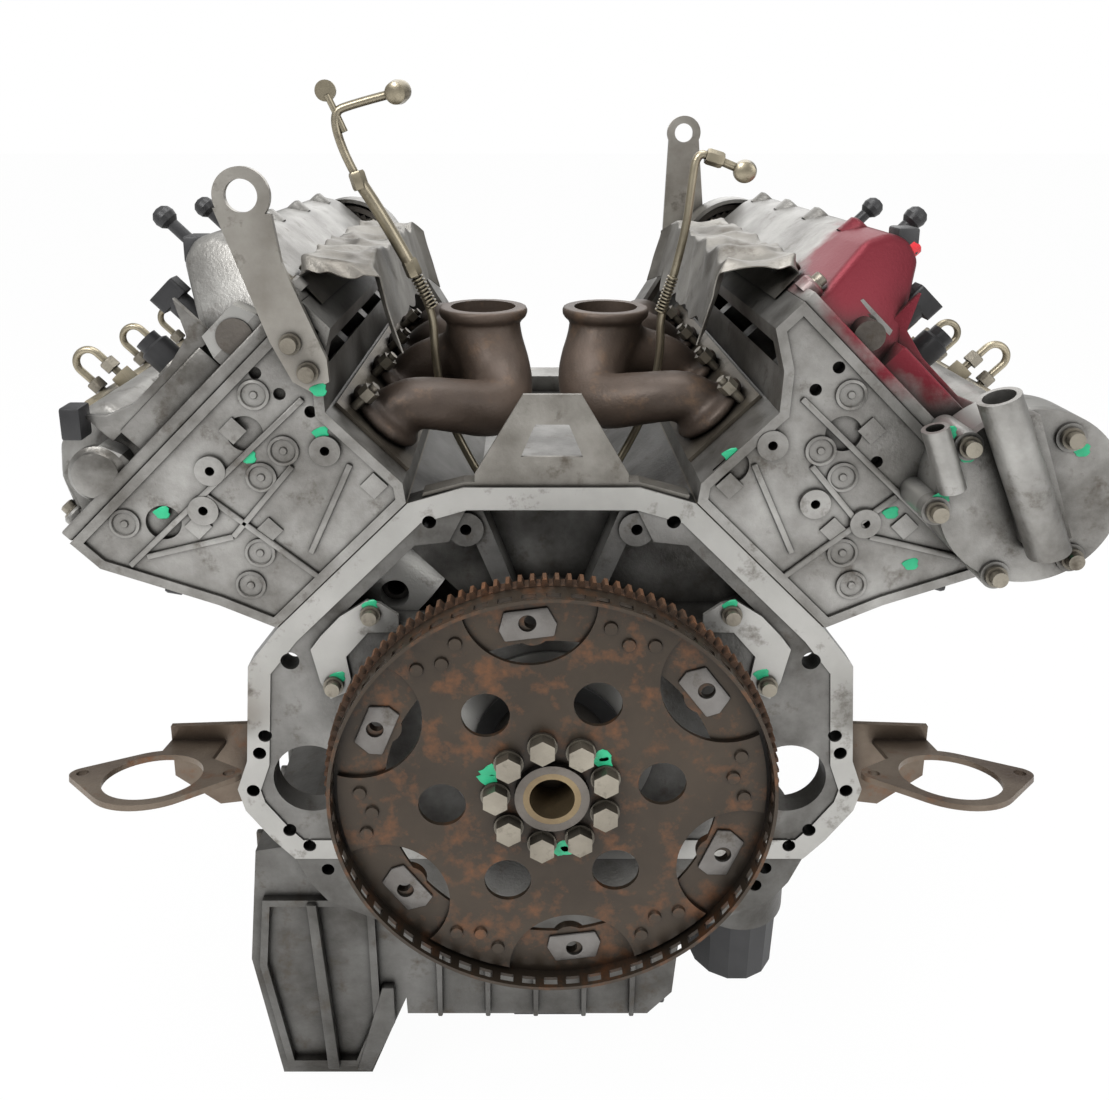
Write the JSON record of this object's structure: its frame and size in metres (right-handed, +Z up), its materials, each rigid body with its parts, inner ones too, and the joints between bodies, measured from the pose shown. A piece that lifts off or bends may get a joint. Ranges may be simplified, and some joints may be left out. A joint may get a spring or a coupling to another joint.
{
  "type": "v8 engine",
  "caption": "Ninety degree V engine with overhead camshafts, exhaust outlets in the valley, a flexplate on its rear end and a cast sump with an upright oil filter.",
  "frame": {"origin": "crankshaft axis in the plane of the bellhousing joint face", "axes": "+X to the right seen from the flexplate end, +Y along the crankshaft from the flexplate towards the damper, +Z up, midway between the banks"},
  "size_m": [0.819, 0.6224, 0.829],
  "materials": {
    "block_aluminium": "rough cast, machined joint faces",
    "head_aluminium": "rough cast, machined faces",
    "cover_aluminium": "die cast, dull",
    "sump_aluminium": "die cast, dull",
    "machined_aluminium": "milled, dull",
    "crank_steel": "turned and ground",
    "forged_steel": "forged, shot peened",
    "bearing_metal": "satin",
    "bush_bronze": "satin",
    "seal_rubber": "matt",
    "flexplate_steel": "dark, stained",
    "ring_gear_steel": "rusted teeth",
    "fastener_steel": "plated, worn",
    "piston_aluminium": "machined",
    "gasket_steel": "layered sheet",
    "chain_steel": "oiled",
    "manifold_iron": "heat stained",
    "shield_aluminium": "crumpled sheet",
    "filter_cap_plastic": "moulded",
    "filter_paper": "pleated",
    "black_plastic": "moulded",
    "pipe_steel": "yellow passivated",
    "bracket_steel": "rusted sheet"
  },
  "bodies": {
    "engine_frame": {"cylinder_block": "block_aluminium", "main_bearing_caps": "forged_steel", "main_cap_bolts": "fastener_steel", "main_bearing_shells": "bearing_metal", "crank_seals": "seal_rubber", "rear_seal_carrier": "machined_aluminium", "pistons": "piston_aluminium", "wrist_pins": "forged_steel", "connecting_rods": "forged_steel", "cylinder_head_left": "head_aluminium", "cylinder_head_right": "head_aluminium", "cam_cover_left": "cover_aluminium", "cam_cover_right": "cover_aluminium", "timing_chains": "chain_steel", "timing_cover": "cover_aluminium", "head_gaskets": "gasket_steel", "cam_bearing_caps": "machined_aluminium", "exhaust_manifold_left": "manifold_iron", "exhaust_manifold_right": "manifold_iron", "manifold_gaskets": "gasket_steel", "manifold_nuts": "fastener_steel", "heat_shields": "shield_aluminium", "oil_sump": "sump_aluminium", "oil_level_sensor": "black_plastic", "sump_drain_plug": "fastener_steel", "oil_pump": "machined_aluminium", "oil_filter_housing": "sump_aluminium", "oil_filter_element": "filter_paper", "oil_filter_cap": "filter_cap_plastic", "vacuum_pump_housing": "machined_aluminium", "vacuum_pump_cover": "cover_aluminium", "lifting_eyes": "bracket_steel", "oil_feed_lines": "pipe_steel", "fuel_rails": "pipe_steel", "fuel_lines": "pipe_steel", "vent_caps": "black_plastic", "cover_sensors": "black_plastic", "exhaust_brackets": "bracket_steel", "valley_bracket": "shield_aluminium", "cover_plates": "machined_aluminium", "flange_bolts": "fastener_steel"},
    "crank": {"crankshaft": "crank_steel", "pilot_bush": "bush_bronze", "flexplate_disc": "flexplate_steel", "flexplate_pan": "flexplate_steel", "ring_gear": "ring_gear_steel", "flexplate_rivets": "flexplate_steel", "flexplate_bolts": "fastener_steel", "crank_sprockets": "chain_steel", "crank_damper": "forged_steel", "damper_bolt": "fastener_steel"},
    "rod_ends_1": {"rod_big_ends_1": "forged_steel"},
    "rod_ends_2": {"rod_big_ends_2": "forged_steel"},
    "rod_ends_3": {"rod_big_ends_3": "forged_steel"},
    "rod_ends_4": {"rod_big_ends_4": "forged_steel"},
    "intake_cam_left": {"intake_camshaft_left": "crank_steel"},
    "intake_cam_right": {"intake_camshaft_right": "crank_steel", "vacuum_pump_rotor": "forged_steel"},
    "exhaust_cam_left": {"exhaust_camshaft_left": "crank_steel"},
    "exhaust_cam_right": {"exhaust_camshaft_right": "crank_steel"}
  },
  "joints": [
    {"name": "crank_spin", "type": "hinge", "parent": "engine_frame", "child": "crank", "pos_m": [0, 0.2, 0], "axis": [0, 1, 0], "continuous": true},
    {"name": "rod_ends_1_swing", "type": "hinge", "parent": "crank", "child": "rod_ends_1", "pos_m": [0, 0.072, 0.04415], "axis": [0, 1, 0], "continuous": true},
    {"name": "rod_ends_2_swing", "type": "hinge", "parent": "crank", "child": "rod_ends_2", "pos_m": [0.04415, 0.17, 0], "axis": [0, 1, 0], "continuous": true},
    {"name": "rod_ends_3_swing", "type": "hinge", "parent": "crank", "child": "rod_ends_3", "pos_m": [-0.04415, 0.268, 0], "axis": [0, 1, 0], "continuous": true},
    {"name": "rod_ends_4_swing", "type": "hinge", "parent": "crank", "child": "rod_ends_4", "pos_m": [0, 0.366, -0.04415], "axis": [0, 1, 0], "continuous": true},
    {"name": "intake_cam_left_spin", "type": "hinge", "parent": "engine_frame", "child": "intake_cam_left", "pos_m": [-0.32173, 0.22, 0.21708], "axis": [0, 1, 0], "continuous": true},
    {"name": "intake_cam_right_spin", "type": "hinge", "parent": "engine_frame", "child": "intake_cam_right", "pos_m": [0.32173, 0.22, 0.21708], "axis": [0, 1, 0], "continuous": true},
    {"name": "exhaust_cam_left_spin", "type": "hinge", "parent": "engine_frame", "child": "exhaust_cam_left", "pos_m": [-0.21991, 0.22, 0.3189], "axis": [0, 1, 0], "continuous": true},
    {"name": "exhaust_cam_right_spin", "type": "hinge", "parent": "engine_frame", "child": "exhaust_cam_right", "pos_m": [0.21991, 0.22, 0.3189], "axis": [0, 1, 0], "continuous": true}
  ],
  "couplings": [
    {"joint": "rod_ends_1_swing", "follows": "crank_spin", "ratio": -1},
    {"joint": "rod_ends_2_swing", "follows": "crank_spin", "ratio": -1},
    {"joint": "rod_ends_3_swing", "follows": "crank_spin", "ratio": -1},
    {"joint": "rod_ends_4_swing", "follows": "crank_spin", "ratio": -1},
    {"joint": "intake_cam_left_spin", "follows": "crank_spin", "ratio": 0.5},
    {"joint": "intake_cam_right_spin", "follows": "crank_spin", "ratio": 0.5},
    {"joint": "exhaust_cam_left_spin", "follows": "crank_spin", "ratio": 0.5},
    {"joint": "exhaust_cam_right_spin", "follows": "crank_spin", "ratio": 0.5}
  ]
}
